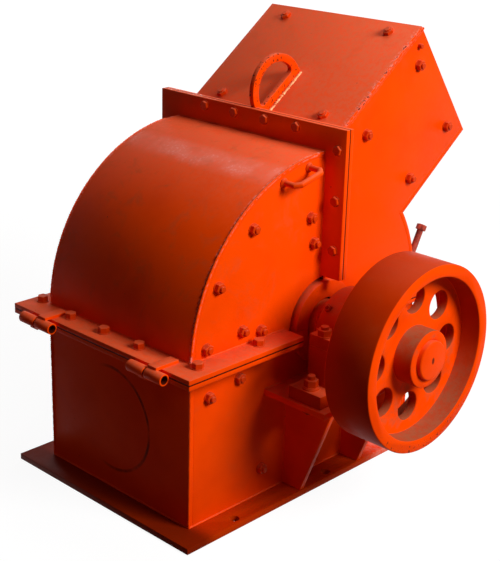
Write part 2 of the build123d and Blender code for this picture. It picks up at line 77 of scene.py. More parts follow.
# Planes of the solids that the fittings sit on
WALL_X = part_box("right_cover_side")[1].x
FLANGE_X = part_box("base_flange")[1].x
FLANGE_FRONT_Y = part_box("cover_joint_flange")[0].y
COVER_FLANGE_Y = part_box("cover_standing_flange")[0].y
REAR_FLANGE_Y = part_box("rear_standing_flange")[1].y
SEAM_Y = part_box("rear_standing_flange")[0].y
STANDING_TOP_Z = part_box("rear_standing_flange")[1].z
JOINT_TOP_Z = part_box("cover_joint_flange")[1].z
JOINT_LOW_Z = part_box("lower_joint_flange")[0].z
SPLIT_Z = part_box("cover_joint_flange")[0].z
REAR_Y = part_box("lower_rear_wall")[1].y
FRONT_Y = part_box("lower_front_wall")[0].y
BASE_TOP_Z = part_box("base_flange")[1].z
BRACKET_TOP_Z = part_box("bracket_plates")[1].z
CHUTE_TOP = Vector((0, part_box("chute_top_plate")[1].y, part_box("chute_top_plate")[1].z))
SHAFT_END_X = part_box("shaft")[1].x
HINGE_AXIS = (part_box("hinge_pins")[0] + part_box("hinge_pins")[1]) / 2
PIN_RADIUS = (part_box("hinge_pins")[1].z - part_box("hinge_pins")[0].z) / 2
COVER_CENTRE_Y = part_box("cover_curved_plate")[1].y
COVER_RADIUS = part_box("cover_curved_plate")[1].z - SPLIT_Z

# Shapes shared by the fittings
UP = Vector((0, 0, 1))
CHUTE_ANGLE = math.radians(37)
ALONG_CHUTE = Vector((0, math.cos(CHUTE_ANGLE), math.sin(CHUTE_ANGLE)))
OFF_CHUTE = Vector((0, -math.sin(CHUTE_ANGLE), math.cos(CHUTE_ANGLE)))

# Settings that many shader nodes share
ADD = {"operation": "ADD"}
SUBTRACT = {"operation": "SUBTRACT"}
MULTIPLY = {"operation": "MULTIPLY"}
MAXIMUM = {"operation": "MAXIMUM"}
ABSOLUTE = {"operation": "ABSOLUTE"}
SMOOTH = {"interpolation_type": "SMOOTHSTEP"}
COLOUR = {"data_type": "RGBA"}


class CrusherView(bpy.types.PropertyGroup):
    """Camera of the product view."""

    azimuth: bpy.props.FloatProperty(
        name="Azimuth",
        description="Angle round the machine from its front",
        default=math.radians(43.39),
        subtype="ANGLE",
    )
    elevation: bpy.props.FloatProperty(
        name="Elevation",
        description="Height angle of the camera",
        default=math.radians(20.05),
        subtype="ANGLE",
    )
    roll: bpy.props.FloatProperty(
        name="Roll",
        description="Turn of the camera about its axis",
        default=math.radians(1.62),
        subtype="ANGLE",
    )
    distance: bpy.props.FloatProperty(
        name="Distance", description="Camera to the aim point", default=2.526, unit="LENGTH"
    )
    aim: bpy.props.FloatVectorProperty(
        name="Aim",
        description="Point that the camera looks at",
        default=(0.0126, -0.0051, 0.3662),
        subtype="XYZ",
    )
    focal: bpy.props.FloatProperty(
        name="Focal length", description="In millimetres on a 36 mm sensor", default=79.35
    )


class CrusherLight(bpy.types.PropertyGroup):
    """Studio lights."""

    key_power: bpy.props.FloatProperty(
        name="Key", description="Soft box on the flywheel side", default=134.0, unit="POWER"
    )
    top_power: bpy.props.FloatProperty(
        name="Top", description="Soft box above the machine", default=19.0, unit="POWER"
    )
    rear_power: bpy.props.FloatProperty(
        name="Rear", description="Soft box behind the drive side", default=50.0, unit="POWER"
    )
    sky: bpy.props.FloatProperty(name="Sky", description="Strength of the even light", default=0.05)
    sky_tint: bpy.props.StringProperty(
        name="Sky tint", description="Colour of the even light", default="#FFA88C"
    )


class CrusherPaint(bpy.types.PropertyGroup):
    """Colours of the enamel and of what shows through it."""

    enamel: bpy.props.StringProperty(
        name="Enamel", description="Fresh orange-red enamel", default="#F84800"
    )
    enamel_deep: bpy.props.StringProperty(
        name="Deep enamel", description="Thick or dirty enamel", default="#DC3200"
    )
    # Faded enamel, also used as a painted sheen of the sky on faces that look up
    chalk_and_sky_sheen: bpy.props.StringProperty(
        name="Chalk", description="Faded enamel that faces the sky", default="#E45E38"
    )
    # Rubbed enamel, also the colour of painted highlights on the cover's crown and welded edges, and of
    # painted light at the base's rear
    scuff_and_highlight: bpy.props.StringProperty(name="Scuff", description="Rubbed enamel", default="#F08C7C")
    chip: bpy.props.StringProperty(
        name="Chip", description="Bare rusty steel in a chip", default="#7A2810"
    )
    # Wet dirt and dark seams, also used as painted shade on the base and in the shaft's ends
    stain_and_shade: bpy.props.StringProperty(
        name="Stain", description="Wet dirt and the dark of a seam", default="#320602"
    )
    # Old oil and dirt, also used as painted shade on the flywheel, the bearings and the sides of nuts
    oil_and_shade_colour: bpy.props.StringProperty(
        name="Oil", description="Film of old oil and dirt over enamel", default="#5E0E04"
    )
    # Stone dust and foundry dirt, also painted shade on the flywheel's recess walls
    dust_and_painted_light: bpy.props.StringProperty(
        name="Dust", description="Stone dust and foundry dirt", default="#A5583A"
    )
    # Rubbed weld, also a painted highlight along the lug's foot
    weld: bpy.props.StringProperty(
        name="Rubbed weld", description="Weld metal and primer rubbed clear", default="#FFC78C"
    )
    sheen: bpy.props.StringProperty(
        name="Sheen", description="Tint of the enamel's gloss", default="#FF8A66"
    )


class CrusherFittings(bpy.types.PropertyGroup):
    """Sizes of the nuts, bolts and weld beads."""

    nut_width: bpy.props.FloatProperty(
        name="Nut", description="Across the flats, M12", default=19 * MM, unit="LENGTH"
    )
    nut_height: bpy.props.FloatProperty(
        name="Nut height", description="M12", default=9 * MM, unit="LENGTH"
    )
    stud_radius: bpy.props.FloatProperty(
        name="Stud", description="Radius of an M12 thread", default=6 * MM, unit="LENGTH"
    )
    bead: bpy.props.FloatProperty(
        name="Bead", description="Radius of a fillet weld", default=3.2 * MM, unit="LENGTH"
    )
    edge: bpy.props.FloatProperty(
        name="Edge", description="Rounding of plate edges", default=0.9 * MM, unit="LENGTH"
    )


def linear(colour):
    """Linear RGBA of an sRGB hex colour."""
    parts = [int(colour[i : i + 2], 16) / 255 for i in (1, 3, 5)]
    return tuple(c / 12.92 if c <= 0.04045 else ((c + 0.055) / 1.055) ** 2.4 for c in parts) + (1.0,)


def node(tree, kind, inputs=(), settings=None):
    """Adds a shader node with its settings; inputs are values or sources, by name or in socket order."""
    made = tree.nodes.new("ShaderNode" + kind)
    for name, value in (settings or {}).items():
        setattr(made, name, value)
    sockets = [socket for socket in made.inputs if socket.enabled]
    if isinstance(inputs, dict):
        sockets, inputs = [made.inputs[name] for name in inputs], inputs.values()
    for socket, value in zip(sockets, inputs):
        if isinstance(value, bpy.types.ShaderNode):
            value = next(output for output in value.outputs if output.enabled)
        if isinstance(value, bpy.types.NodeSocket):
            tree.links.new(value, socket)
        else:
            socket.default_value = value
    return made


def new_material(name):
    """An empty node material and its tree."""
    material = bpy.data.materials.new(name)
    material.use_nodes = True
    material.node_tree.nodes.clear()
    return material, material.node_tree


def near(tree, value, centre, reach, soft):
    """1 where a value lies within reach of a centre, fading to 0 over a soft rim."""
    gap = node(tree, "Math", (node(tree, "Math", (value, centre), SUBTRACT),), ABSOLUTE)
    return node(tree, "MapRange", (gap, reach, reach + soft, 1.0, 0.0), SMOOTH)


def plane_gap(tree, place, point, normal):
    """Signed distance of a place from a plane."""
    shifted = node(tree, "VectorMath", (place, tuple(point)), SUBTRACT)
    return node(tree, "VectorMath", (shifted, tuple(normal)), {"operation": "DOT_PRODUCT"})


def axis_gap(tree, place, centre, keep):
    """Distance of a place from an axis; keep is 1 on the two coordinates across the axis."""
    shifted = node(tree, "VectorMath", (place, centre), SUBTRACT)
    flat = node(tree, "VectorMath", (shifted, keep), MULTIPLY)
    return node(tree, "VectorMath", (flat,), {"operation": "LENGTH"})


def cover_wear(tree, place):
    """A band across the rolled plate's crown, partly scuffs and partly a painted highlight, and pale nicks
    along its welded edges that also paint an edge highlight.
    """
    across = node(tree, "SeparateXYZ", (place,)).outputs
    side = node(tree, "Math", (across["X"],), ABSOLUTE)
    rolled = axis_gap(tree, place, (0, COVER_CENTRE_Y, SPLIT_Z), (0, 1, 1))
    rolled = near(tree, rolled, COVER_RADIUS, 2 * MM, 5 * MM)
    edge = node(tree, "Math", (rolled, near(tree, side, WALL_X, 2 * MM, 5 * MM)), MULTIPLY)
    # A pale band high on the crown: scuffs, and a painted highlight of the gloss there
    band = near(tree, across["Y"], COVER_CENTRE_Y - 128 * MM, 8 * MM, 30 * MM)
    high = node(tree, "MapRange", (across["Z"], SPLIT_Z + 200 * MM, SPLIT_Z + 250 * MM), SMOOTH)
    band = node(tree, "Math", (band, high), MULTIPLY)
    haze = node(tree, "TexNoise", {"Vector": place, "Scale": 1 / (60 * MM), "Detail": 3, "Roughness": 0.55})
    haze = node(tree, "MapRange", (haze, 0.35, 0.65, 0.2, 0.5), SMOOTH)
    specks = node(tree, "TexNoise", {"Vector": place, "Scale": 1 / (7 * MM), "Detail": 4, "Roughness": 0.7})
    specks = node(tree, "MapRange", (specks, 0.5, 0.68, 0.0, 0.5), SMOOTH)
    hazy = node(tree, "MapRange", (haze, 0.2, 0.5), SMOOTH)
    scuff_and_sheen = node(tree, "Math", (haze, node(tree, "Math", (specks, hazy), MULTIPLY)), ADD)
    on_plate = node(tree, "MapRange", (side, 190 * MM, 198 * MM, 1.0, 0.0), SMOOTH)
    band = node(tree, "Math", (node(tree, "Math", (band, scuff_and_sheen), MULTIPLY), on_plate), MULTIPLY)
    # Pale nicks along the welded edges, also a painted highlight along them
    nicks_and_edge_glints = node(tree, "TexNoise", {"Vector": place, "Scale": 1 / (7 * MM), "Detail": 2, "Roughness": 0.55})
    nicks_and_edge_glints = node(tree, "MapRange", (nicks_and_edge_glints, 0.46, 0.56, 0.0, 0.8), SMOOTH)
    nicks_and_edge_glints = node(tree, "Math", (edge, nicks_and_edge_glints), MULTIPLY)
    scuff_and_highlight = node(tree, "Math", (band, nicks_and_edge_glints), MAXIMUM)
    return scuff_and_highlight, node(tree, "Math", (edge, 0.1), MULTIPLY), 0.0


def chute_wear_and_edge_glints(tree, place):
    """Pale nicks along the welded edges between the chute's top and its sides, partly worn enamel and partly
    a painted edge highlight.
    """
    across = node(tree, "SeparateXYZ", (place,)).outputs
    side = near(tree, node(tree, "Math", (across["X"],), ABSOLUTE), WALL_X, 3 * MM, 8 * MM)
    top = near(tree, plane_gap(tree, place, CHUTE_TOP, OFF_CHUTE), 0.0, 3 * MM, 6 * MM)
    edge = node(tree, "Math", (top, side), MULTIPLY)
    # Pale nicks, also a painted highlight along the edge
    nicks_and_edge_glints = node(tree, "TexNoise", {"Vector": place, "Scale": 1 / (6 * MM), "Detail": 2, "Roughness": 0.55})
    nicks_and_edge_glints = node(tree, "MapRange", (nicks_and_edge_glints, 0.5, 0.6, 0.0, 0.6), SMOOTH)
    nicks_and_edge_glints = node(tree, "Math", (edge, nicks_and_edge_glints), MULTIPLY)
    return nicks_and_edge_glints, node(tree, "Math", (edge, 0.15), MULTIPLY), 0.0


def front_wear(tree, place):
    """A dark, half rubbed-out scribed arc on the lower front wall."""
    ring = axis_gap(tree, place, (-17 * MM, 0, 161 * MM), (1, 0, 1))
    line = near(tree, ring, 107 * MM, 1.2 * MM, 3.5 * MM)
    across = node(tree, "SeparateXYZ", (place,)).outputs
    right = node(tree, "MapRange", (across["X"], -60 * MM, 10 * MM), SMOOTH)
    broken = node(tree, "TexNoise", {"Vector": place, "Scale": 1 / (50 * MM), "Detail": 3, "Roughness": 0.55})
    broken = node(tree, "MapRange", (broken, 0.3, 0.6, 0.15, 0.85), SMOOTH)
    line = node(tree, "Math", (line, right), MULTIPLY)
    return 0.0, 0.0, node(tree, "Math", (line, broken), MULTIPLY)


def hinge_wear(tree, place):
    """Black grease in the bores of the hinge knuckles."""
    bore = near(tree, axis_gap(tree, place, HINGE_AXIS, (0, 1, 1)), 0.0, PIN_RADIUS + MM, 0.8 * MM)
    return 0.0, 0.01, node(tree, "Math", (bore, 0.95), MULTIPLY)


def base_painted_light(tree, place):
    """Painted shade, darkest along the front and the left of the base where the casing shades it, and a
    painted pool of light in pale speckle at its rear.
    """
    across = node(tree, "SeparateXYZ", (place,)).outputs
    # Painted shade along the front and the left, where the casing shades the base
    front = node(tree, "MapRange", (across["Y"], -360 * MM, -320 * MM, 0.8, 0.5), SMOOTH)
    left = node(tree, "MapRange", (across["X"], -260 * MM, -160 * MM, 0.75, 0.5), SMOOTH)
    painted_front_shade = node(tree, "Math", (front, left), MAXIMUM)
    # A painted pool of light at the rear right, speckled pale
    rear = node(tree, "MapRange", (across["Y"], 90 * MM, 170 * MM), SMOOTH)
    right = node(tree, "MapRange", (across["X"], 150 * MM, 210 * MM), SMOOTH)
    painted_rear_light = node(tree, "Math", (rear, right), MULTIPLY)
    painted_front_shade = node(tree, "Math", (painted_front_shade, node(tree, "MapRange", (painted_rear_light, 0.0, 1.0, 1.0, 0.1), SMOOTH)), MULTIPLY)
    dust_and_painted_light = node(tree, "TexNoise", {"Vector": place, "Scale": 1 / (12 * MM), "Detail": 5, "Roughness": 0.8})
    dust_and_painted_light = node(tree, "MapRange", (dust_and_painted_light, 0.44, 0.56, 0.1, 0.75), SMOOTH)
    return node(tree, "Math", (painted_rear_light, dust_and_painted_light), MULTIPLY), 0.0, painted_front_shade


def seam_wear(tree, place):
    """Dark seams where two flanges meet."""
    across = node(tree, "SeparateXYZ", (place,)).outputs
    standing_seam = near(tree, across["Y"], SEAM_Y, 1 * MM, 0.8 * MM)
    split_seam = near(tree, across["Z"], SPLIT_Z, 1 * MM, 0.8 * MM)
    seam = node(tree, "Math", (standing_seam, split_seam), MAXIMUM)
    return 0.0, 0.0, node(tree, "Math", (seam, 0.95), MULTIPLY)


def shaft_stain_and_centre_shade(tree, place):
    """Brown stain inside the chamber, and painted shade of a turning centre: a dark spot in each end of the
    shaft.
    """
    across = node(tree, "SeparateXYZ", (place,)).outputs
    side = node(tree, "Math", (across["X"],), ABSOLUTE)
    inside = node(tree, "MapRange", (side, WALL_X - 4 * MM, WALL_X + 4 * MM, 0.85, 0.0), SMOOTH)
    # Painted shade of a centre hole: a dark spot on the axis of each end
    centre = near(tree, axis_gap(tree, place, (0, 0, SPLIT_Z), (0, 1, 0.55)), 0.0, 2.5 * MM, 2 * MM)
    end = node(tree, "MapRange", (side, SHAFT_END_X - 2 * MM, SHAFT_END_X - MM, 0.0, 0.85), SMOOTH)
    centre = node(tree, "Math", (centre, end), MULTIPLY)
    return 0.0, 0.0, node(tree, "Math", (inside, centre), MAXIMUM)


def rim_wear(tree, place):
    """Nicks low on the rim of the flywheel."""
    ring = near(tree, axis_gap(tree, place, (0, 0, SPLIT_Z), (0, 1, 1)), 172 * MM, 6 * MM, 8 * MM)
    across = node(tree, "SeparateXYZ", (place,)).outputs
    low = node(tree, "MapRange", (across["Z"], 190 * MM, 280 * MM, 0.13, 0.0), SMOOTH)
    return 0.0, node(tree, "Math", (ring, low), MULTIPLY), 0.0


def hollow_dirt_and_shade(tree, place, facing, dust_and_recess_shade, hollow):
    """Dust on the deep walls of a hollow casting that face up, which also paints shade in the recess, and
    smudges of dirt on its web.
    """
    sideways = node(tree, "Math", (facing["X"],), ABSOLUTE)
    inside = axis_gap(tree, place, (0, 0, SPLIT_Z), (0, 1, 1))
    walls = node(tree, "MapRange", (sideways, 0.3, 0.7, 1.0, 0.0), SMOOTH)
    deep = node(tree, "MapRange", (inside, hollow, hollow + MM, 1.0, 0.0), SMOOTH)
    deep = node(tree, "Math", (walls, deep), MULTIPLY)
    recess_dust_and_shade = node(tree, "TexNoise", {"Vector": place, "Scale": 1 / (16 * MM), "Detail": 5, "Roughness": 0.75})
    recess_dust_and_shade = node(tree, "MapRange", (recess_dust_and_shade, 0.38, 0.6, 0.5, 1.0), SMOOTH)
    lying = node(tree, "MapRange", (facing["Z"], -0.05, 0.75), SMOOTH)
    recess_dust_and_shade = node(tree, "Math", (recess_dust_and_shade, lying), MULTIPLY)
    dust_and_recess_shade = node(tree, "Math", (dust_and_recess_shade, node(tree, "Math", (deep, recess_dust_and_shade), MULTIPLY)), MAXIMUM)
    flat = node(tree, "MapRange", (sideways, 0.3, 0.7), SMOOTH)
    web = node(tree, "MapRange", (inside, hollow - 8 * MM, hollow, 1.0, 0.0), SMOOTH)
    web = node(tree, "Math", (flat, web), MULTIPLY)
    smudge = node(tree, "TexNoise", {"Vector": place, "Scale": 1 / (50 * MM), "Detail": 5, "Roughness": 0.65})
    smudge = node(tree, "MapRange", (smudge, 0.52, 0.72, 0.0, 0.5), SMOOTH)
    return node(tree, "Math", (dust_and_recess_shade, node(tree, "Math", (web, smudge), MULTIPLY)), MAXIMUM)


def enamel_material(
    name, grain, grain_depth, dirt, chalk_sheen_from=0.3, chips=0.0, wear=None, hollow=0.0, oil_and_shade=0.0, gloss=0.07
):
    """Brushed-on alkyd enamel: satin where fresh, chalky where it faces up, which is also a painted sheen of
    the sky, chipped to rusty steel.
    """
    paint = bpy.context.scene.crusher_paint
    material, tree = new_material(name)
    coords = node(tree, "TexCoord").outputs
    place = coords["Object"]
    facing = node(tree, "SeparateXYZ", (coords["Normal"],)).outputs
    up = facing["Z"]
    # Brush coats: broad, faint changes of depth
    coat = node(tree, "TexNoise", {"Vector": place, "Scale": 1 / (140 * MM), "Detail": 3, "Roughness": 0.55})
    coat = node(tree, "MapRange", (coat, 0.4, 0.75, 0.0, 0.45), SMOOTH)
    colour = node(tree, "Mix", (coat, linear(paint.enamel), linear(paint.enamel_deep)), COLOUR)
    # Weather fades what faces up, in a mottle of about a centimetre; this pale colour is also a painted sheen
    # of the sky on faces that look up
    mottle = node(
        tree,
        "TexNoise",
        {"Vector": place, "Scale": 1 / (9 * MM), "Detail": 5, "Roughness": 0.68, "Distortion": 0.3},
    )
    sky_facing = node(tree, "MapRange", (up, chalk_sheen_from, chalk_sheen_from + 0.45), SMOOTH)
    chalk_and_sky_sheen = node(tree, "MapRange", (mottle, 0.36, 0.6, 0.5, 1.0), SMOOTH)
    chalk_and_sky_sheen = node(tree, "Math", (sky_facing, chalk_and_sky_sheen), MULTIPLY)
    colour = node(tree, "Mix", (chalk_and_sky_sheen, colour, linear(paint.chalk_and_sky_sheen)), COLOUR)
    # Stone dust and foundry dirt, mostly where it can lie
    dust_and_recess_shade = node(
        tree,
        "TexNoise",
        {"Vector": place, "Scale": 1 / (45 * MM), "Detail": 6, "Roughness": 0.68, "Distortion": 0.5},
    )
    dust_and_recess_shade = node(tree, "MapRange", (dust_and_recess_shade, 0.5, 0.74, 0.0, dirt), SMOOTH)
    lying = node(tree, "MapRange", (up, -0.4, 0.7, 0.25, 1.0), SMOOTH)
    dust_and_recess_shade = node(tree, "Math", (dust_and_recess_shade, lying), MULTIPLY)
    if hollow:
        # In a hollow casting, dust on the deep walls is also painted shade in the recess
        dust_and_recess_shade = hollow_dirt_and_shade(tree, place, facing, dust_and_recess_shade, hollow)
        # Painted shade: a brown film darkens every face that doesn't face along the shaft, such as the rim's
        # outer cylinder
        shade_film = node(tree, "Math", (facing["X"],), ABSOLUTE)
        shade_film = node(tree, "MapRange", (shade_film, 0.3, 0.7, 0.5, 0.0), SMOOTH)
        colour = node(tree, "Mix", (shade_film, colour, linear(paint.oil_and_shade_colour)), COLOUR)
    colour = node(tree, "Mix", (dust_and_recess_shade, colour, linear(paint.dust_and_painted_light)), COLOUR)
    if oil_and_shade:
        # An oil film, heavier on the sides than on top: oil, and painted shade on those sides
        shade_film = node(tree, "MapRange", (up, 0.3, 0.9, oil_and_shade, oil_and_shade * 0.4), SMOOTH)
        colour = node(tree, "Mix", (shade_film, colour, linear(paint.oil_and_shade_colour)), COLOUR)
    # Worn and dirty marks, which in places are painted highlight and painted shade
    if wear:
        scuff_and_highlight, chips, stain_and_shade = wear(tree, place)
        colour = node(tree, "Mix", (scuff_and_highlight, colour, linear(paint.scuff_and_highlight)), COLOUR)
        colour = node(tree, "Mix", (stain_and_shade, colour, linear(paint.stain_and_shade)), COLOUR)
    # Chips of a few millimetres, in patches
    speck = node(tree, "TexNoise", {"Vector": place, "Scale": 1 / (6 * MM), "Detail": 2, "Roughness": 0.5})
    patch = node(tree, "TexNoise", {"Vector": place, "Scale": 1 / (40 * MM), "Detail": 2, "Roughness": 0.5})
    speck = node(tree, "MapRange", (node(tree, "Math", (speck, chips), ADD), 0.76, 0.79), SMOOTH)
    patch = node(tree, "MapRange", (node(tree, "Math", (patch, chips), ADD), 0.48, 0.58), SMOOTH)
    chip = node(tree, "Math", (speck, patch), MULTIPLY)
    colour = node(tree, "Mix", (chip, colour, linear(paint.chip)), COLOUR)
    rough = node(tree, "MapRange", (mottle, 0.3, 0.7, 0.4, 0.5), SMOOTH)
    rough = node(tree, "Math", (rough, node(tree, "Math", (chalk_and_sky_sheen, 0.12), MULTIPLY)), ADD)
    rough = node(tree, "Math", (rough, node(tree, "Math", (dust_and_recess_shade, 0.3), MULTIPLY)), ADD)
    # Casting or brush grain, on plates that are never quite flat
    fine = node(tree, "TexNoise", {"Vector": place, "Scale": 1 / grain, "Detail": 3, "Roughness": 0.6})
    fine = node(tree, "Math", (fine, grain_depth), MULTIPLY)
    broad = node(tree, "TexNoise", {"Vector": place, "Scale": 1 / (110 * MM), "Detail": 1, "Roughness": 0.55})
    height = node(tree, "Math", (fine, node(tree, "Math", (broad, 1.0 * MM), MULTIPLY)), ADD)
    height = node(tree, "Math", (height, node(tree, "Math", (chip, -0.15 * MM), MULTIPLY)), ADD)
    bump = node(tree, "Bump", {"Height": height, "Strength": 0.6, "Distance": 1.0})
    shader = node(
        tree,
        "BsdfPrincipled",
        {
            "Base Color": colour,
            "Roughness": rough,
            "Normal": bump,
            "IOR": 1.5,
            "Specular IOR Level": gloss,
            "Specular Tint": linear(paint.sheen),
        },
    )
    node(tree, "OutputMaterial", {"Surface": shader})
    return material


def pale_weld_and_highlight_material(name):
    """Weld bead rubbed down to pale primer, with enamel left in its hollows; the pale bead is also a painted
    highlight.
    """
    paint = bpy.context.scene.crusher_paint
    material, tree = new_material(name)
    place = node(tree, "TexCoord").outputs["Object"]
    left = node(tree, "TexNoise", {"Vector": place, "Scale": 1 / (12 * MM), "Detail": 4, "Roughness": 0.7})
    left = node(tree, "MapRange", (left, 0.56, 0.68), SMOOTH)
    colour = node(tree, "Mix", (left, linear(paint.weld), linear(paint.enamel)), COLOUR)
    shader = node(tree, "BsdfPrincipled", {"Base Color": colour, "Roughness": 0.45})
    node(tree, "OutputMaterial", {"Surface": shader})
    return material


def steel_material(name, base, rust, roughness, metal):
    """Dark mill-scaled steel with rust in patches."""
    material, tree = new_material(name)
    place = node(tree, "TexCoord").outputs["Object"]
    patch = node(tree, "TexNoise", {"Vector": place, "Scale": 1 / (35 * MM), "Detail": 6, "Roughness": 0.7})
    patch = node(tree, "MapRange", (patch, 0.42, 0.62), SMOOTH)
    colour = node(tree, "Mix", (patch, linear(base), linear(rust)), COLOUR)
    rough = node(tree, "MapRange", (patch, 0.0, 1.0, roughness, 0.85), SMOOTH)
    scale = node(tree, "TexNoise", {"Vector": place, "Scale": 1 / (3 * MM), "Detail": 4, "Roughness": 0.7})
    bump = node(
        tree,
        "Bump",
        {"Height": node(tree, "Math", (scale, 0.5 * MM), MULTIPLY), "Strength": 0.5, "Distance": 1.0},
    )
    shader = node(
        tree,
        "BsdfPrincipled",
        {"Base Color": colour, "Roughness": rough, "Metallic": metal, "Normal": bump},
    )
    node(tree, "OutputMaterial", {"Surface": shader})
    return material


def finish_mesh(bm, name, body, material, angle=35):
    """Turns a bmesh into a piece at the origin that rides on a body."""
    mesh = bpy.data.meshes.new(name)
    bmesh.ops.recalc_face_normals(bm, faces=bm.faces)
    bm.to_mesh(mesh)
    bm.free()
    for face in mesh.polygons:
        face.use_smooth = True
    mesh.set_sharp_from_angle(angle=math.radians(angle))
    mesh.materials.append(bpy.data.materials[material])
    piece = bpy.data.objects.new(name, mesh)
    bpy.context.scene.collection.objects.link(piece)
    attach(piece, body)
    return piece


def standing(point, out, spin=0.0):
    """A frame at a point whose Z points out of the surface."""
    turn = Vector(out).to_track_quat("Z", "Y").to_matrix().to_4x4()
    return Matrix.Translation(Vector(point)) @ turn @ Matrix.Rotation(spin, 4, "Z")


def add_prism(bm, place, sides, radius, height, crown=0.0, raise_by=0.0):
    """A prism or a cylinder that stands on a frame, with a chamfered top."""
    made = bmesh.ops.create_cone(
        bm,
        cap_ends=True,
        segments=sides,
        radius1=radius,
        radius2=radius,
        depth=height,
        matrix=place @ Matrix.Translation((0, 0, raise_by + height / 2)),
    )
    if crown:
        inverse = place.inverted()
        top = [
            e
            for v in made["verts"]
            for e in v.link_edges
            if all((inverse @ end.co).z > raise_by + height - MM / 10 for end in e.verts)
        ]
        bmesh.ops.bevel(
            bm, geom=list(set(top)), offset=crown, segments=1, profile=0.5, affect="EDGES", material=-1
        )


def add_nut(bm, point, out, turn, width, height, stud, stand):
    """A hexagon nut with a rounded crown and the end of its stud."""
    place = standing(point, out, turn)
    add_prism(bm, place, 16, width * 0.62, 1.6 * MM, 0.3 * MM)
    add_prism(bm, place, 6, width / math.sqrt(3), height, 1.1 * MM, 1.4 * MM)
    add_prism(bm, place, 14, stud, stand, 0.8 * MM, 1.2 * MM + height)


def add_plain_nut(bm, point, out, turn, stand):
    """A nut of the size that the panel gives."""
    sizes = bpy.context.scene.crusher_fittings
    add_nut(bm, point, out, turn, sizes.nut_width, sizes.nut_height, sizes.stud_radius, stand)


def add_bolt_head(bm, point, out, turn, width, height):
    """A hexagon bolt head on a washer."""
    place = standing(point, out, turn)
    add_prism(bm, place, 16, width * 0.62, 1.6 * MM, 0.3 * MM)
    add_prism(bm, place, 6, width / math.sqrt(3), height, 1.0 * MM, 1.4 * MM)


def bead_piece(name, paths, radius, body, material, seed=1, pitch=4.5 * MM):
    """Weld beads: tubes with a ripple for each pool of metal, along straight or bent paths."""
    wander = random.Random(seed)
    curve = bpy.data.curves.new(name, "CURVE")
    curve.dimensions = "3D"
    curve.bevel_depth = radius
    curve.bevel_resolution = 1
    curve.use_fill_caps = True
    for path in paths:
        points = []
        for start, end in zip(path[:-1], path[1:]):
            start, end = Vector(start), Vector(end)
            steps = max(2, round((end - start).length / (pitch / 2)))
            points += [start.lerp(end, i / steps) for i in range(steps)]
        points.append(Vector(path[-1]))
        spline = curve.splines.new("POLY")
        spline.points.add(len(points) - 1)
        for index, (knot, point) in enumerate(zip(spline.points, points)):
            shift = Vector([wander.uniform(-1, 1) for _ in range(3)]) * radius * 0.12
            knot.co = (*(point + shift), 1)
            knot.radius = (1.12 if index % 2 else 0.86) * wander.uniform(0.88, 1.12)
    holder = bpy.data.objects.new(name + "_path", curve)
    mesh = bpy.data.meshes.new_from_object(holder)
    bpy.data.objects.remove(holder)
    bpy.data.curves.remove(curve)
    bm = bmesh.new()
    bm.from_mesh(mesh)
    bpy.data.meshes.remove(mesh)
    return finish_mesh(bm, name, body, material, 60)


def rounded_copy(name, width):
    """A copy of a solid with its edges rounded, as paint and grinding leave them."""
    source = NODES[name]
    bm = bmesh.new()
    bm.from_mesh(source.data)
    bmesh.ops.remove_doubles(bm, verts=bm.verts, dist=0.02 * MM)
    bmesh.ops.dissolve_limit(bm, angle_limit=math.radians(0.6), verts=bm.verts, edges=bm.edges)
    sharp = [e for e in bm.edges if e.is_manifold and e.calc_face_angle(0) > math.radians(30)]
    bmesh.ops.bevel(
        bm,
        geom=sharp,
        offset=width,
        segments=2,
        profile=0.5,
        affect="EDGES",
        clamp_overlap=True,
        material=-1,
    )
    mesh = bpy.data.meshes.new(name + "_finish")
    bm.to_mesh(mesh)
    bm.free()
    for face in mesh.polygons:
        face.use_smooth = True
    mesh.set_sharp_from_angle(angle=math.radians(34))
    piece = bpy.data.objects.new(name + "_finish", mesh)
    bpy.context.scene.collection.objects.link(piece)
    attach(piece, source["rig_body"])
    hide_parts(name)
    return piece


def arc_points(centre_y, radius, start, end, x, steps):
    """Points on an arc round the rotor's side view."""
    found = []
    for i in range(steps + 1):
        turn = math.radians(start + (end - start) * i / steps)
        found.append((x, centre_y + radius * math.cos(turn), SPLIT_Z + radius * math.sin(turn)))
    return found


